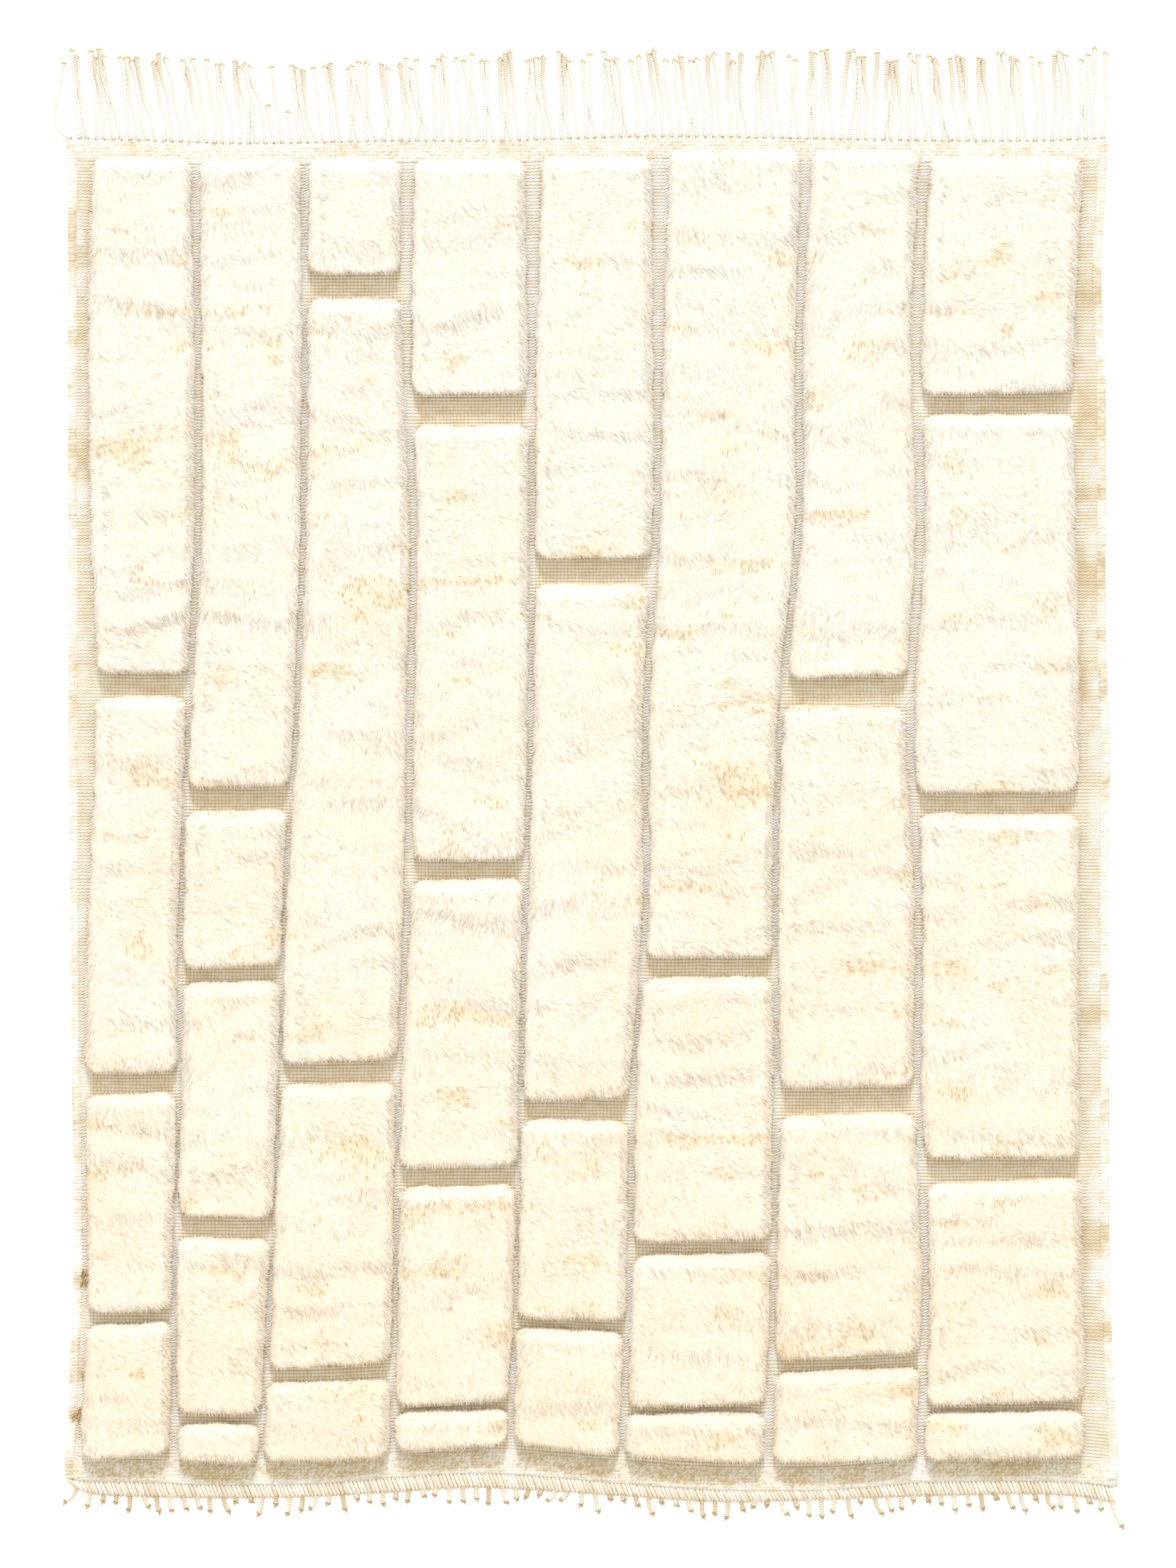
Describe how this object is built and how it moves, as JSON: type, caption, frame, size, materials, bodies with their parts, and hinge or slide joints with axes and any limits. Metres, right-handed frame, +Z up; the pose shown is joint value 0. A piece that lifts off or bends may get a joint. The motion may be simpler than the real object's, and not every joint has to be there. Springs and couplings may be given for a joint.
{
  "type": "beni ourain rug",
  "caption": "Flat cream wool shag rug with raised blocks of pile between ribbed flat-woven channels, a long knotted fringe at one end and short warp ends at the other.",
  "frame": {"origin": "middle of the whole rug's box, fringes included, on the floor under it", "axes": "+X across the rug to the right, +Y along it towards the long fringe, +Z up"},
  "size_m": [1.6546, 2.2932, 0.037],
  "materials": {
    "pile": "undyed cream sheep's wool, knotted cut pile with a soft matt nap",
    "warp": "two-ply twisted cream wool cord, matt",
    "edging": "overcast cream wool yarn, matt"
  },
  "bodies": {
    "root": {"rug_body": "pile", "fringe_top": "warp", "fringe_bottom": "edging"}
  },
  "joints": []
}
